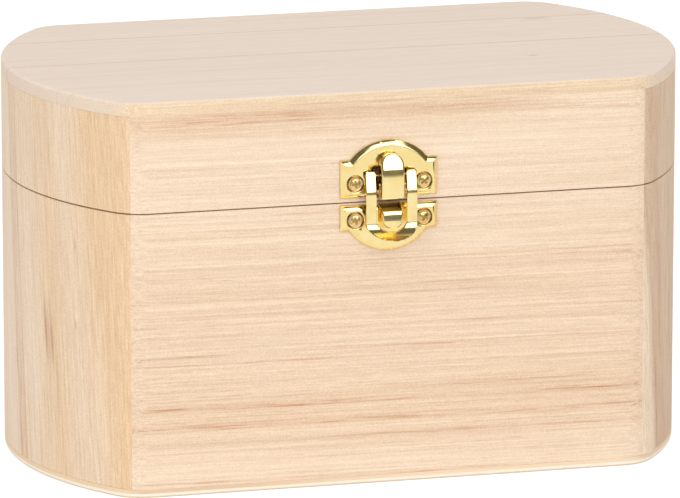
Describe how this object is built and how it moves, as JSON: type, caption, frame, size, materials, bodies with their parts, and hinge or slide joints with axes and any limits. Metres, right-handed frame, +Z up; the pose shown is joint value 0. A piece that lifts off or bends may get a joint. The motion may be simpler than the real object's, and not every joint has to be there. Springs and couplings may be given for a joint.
{
  "type": "wooden box with hinged lid and toggle latch",
  "caption": "Pale wooden box with straight front and back, curved ends, a hinged lid and a brass toggle latch; holds game pieces or other small things.",
  "frame": {"origin": "middle of the flat underside, halfway between the outsides of the front and back boards", "axes": "+X along the front to the viewer's right, +Y from the front to the hinges, +Z up"},
  "size_m": [0.2, 0.1308, 0.1165],
  "materials": {
    "board_wood": "planed, unvarnished, grain along the length",
    "end_wood": "planed, unvarnished, grain upright",
    "top_wood": "planed, unvarnished, grain along the length",
    "bottom_plywood": "thin plywood with a bare edge",
    "latch_brass": "bright plated pressing",
    "hinge_brass": "bright plated sheet",
    "pin_brass": "drawn wire",
    "screw_brass": "plated, cross recess"
  },
  "bodies": {
    "base": {"base_back_board": "board_wood", "base_bottom_panel": "bottom_plywood", "base_front_board": "board_wood", "base_left_end": "end_wood", "base_right_end": "end_wood", "hinge_base_screws": "screw_brass", "hinge_left_base_leaf": "hinge_brass", "hinge_left_pin": "pin_brass", "hinge_right_base_leaf": "hinge_brass", "hinge_right_pin": "pin_brass", "latch_hook_plate": "latch_brass", "latch_hook_plate_screws": "screw_brass"},
    "lid": {"hinge_left_lid_leaf": "hinge_brass", "hinge_lid_screws": "screw_brass", "hinge_right_lid_leaf": "hinge_brass", "latch_lever_pin": "pin_brass", "latch_lever_plate": "latch_brass", "latch_lever_plate_screws": "screw_brass", "lid_back_board": "board_wood", "lid_front_board": "board_wood", "lid_left_end": "end_wood", "lid_right_end": "end_wood", "lid_top_back_middle_strip": "top_wood", "lid_top_back_strip": "top_wood", "lid_top_front_middle_strip": "top_wood", "lid_top_front_strip": "top_wood"},
    "lever": {"latch_lever": "latch_brass"},
    "loop": {"latch_loop": "latch_brass"}
  },
  "joints": [
    {"name": "lid_hinge", "type": "hinge", "parent": "base", "child": "lid", "pos_m": [0, 0.06095, 0.084], "axis": [-1, 0, 0], "range_deg": [0, 180]},
    {"name": "lever_pivot", "type": "hinge", "parent": "lid", "child": "lever", "pos_m": [-0.0008, -0.0625, 0.0877], "axis": [1, 0, 0], "range_deg": [0, 110]},
    {"name": "loop_pivot", "type": "hinge", "parent": "lever", "child": "loop", "pos_m": [-0.0008, -0.062, 0.0923], "axis": [1, 0, 0], "range_deg": [-126.5, 0]}
  ],
  "couplings": [
    {"joint": "loop_pivot", "follows": "lever_pivot", "ratio": -1.15}
  ]
}
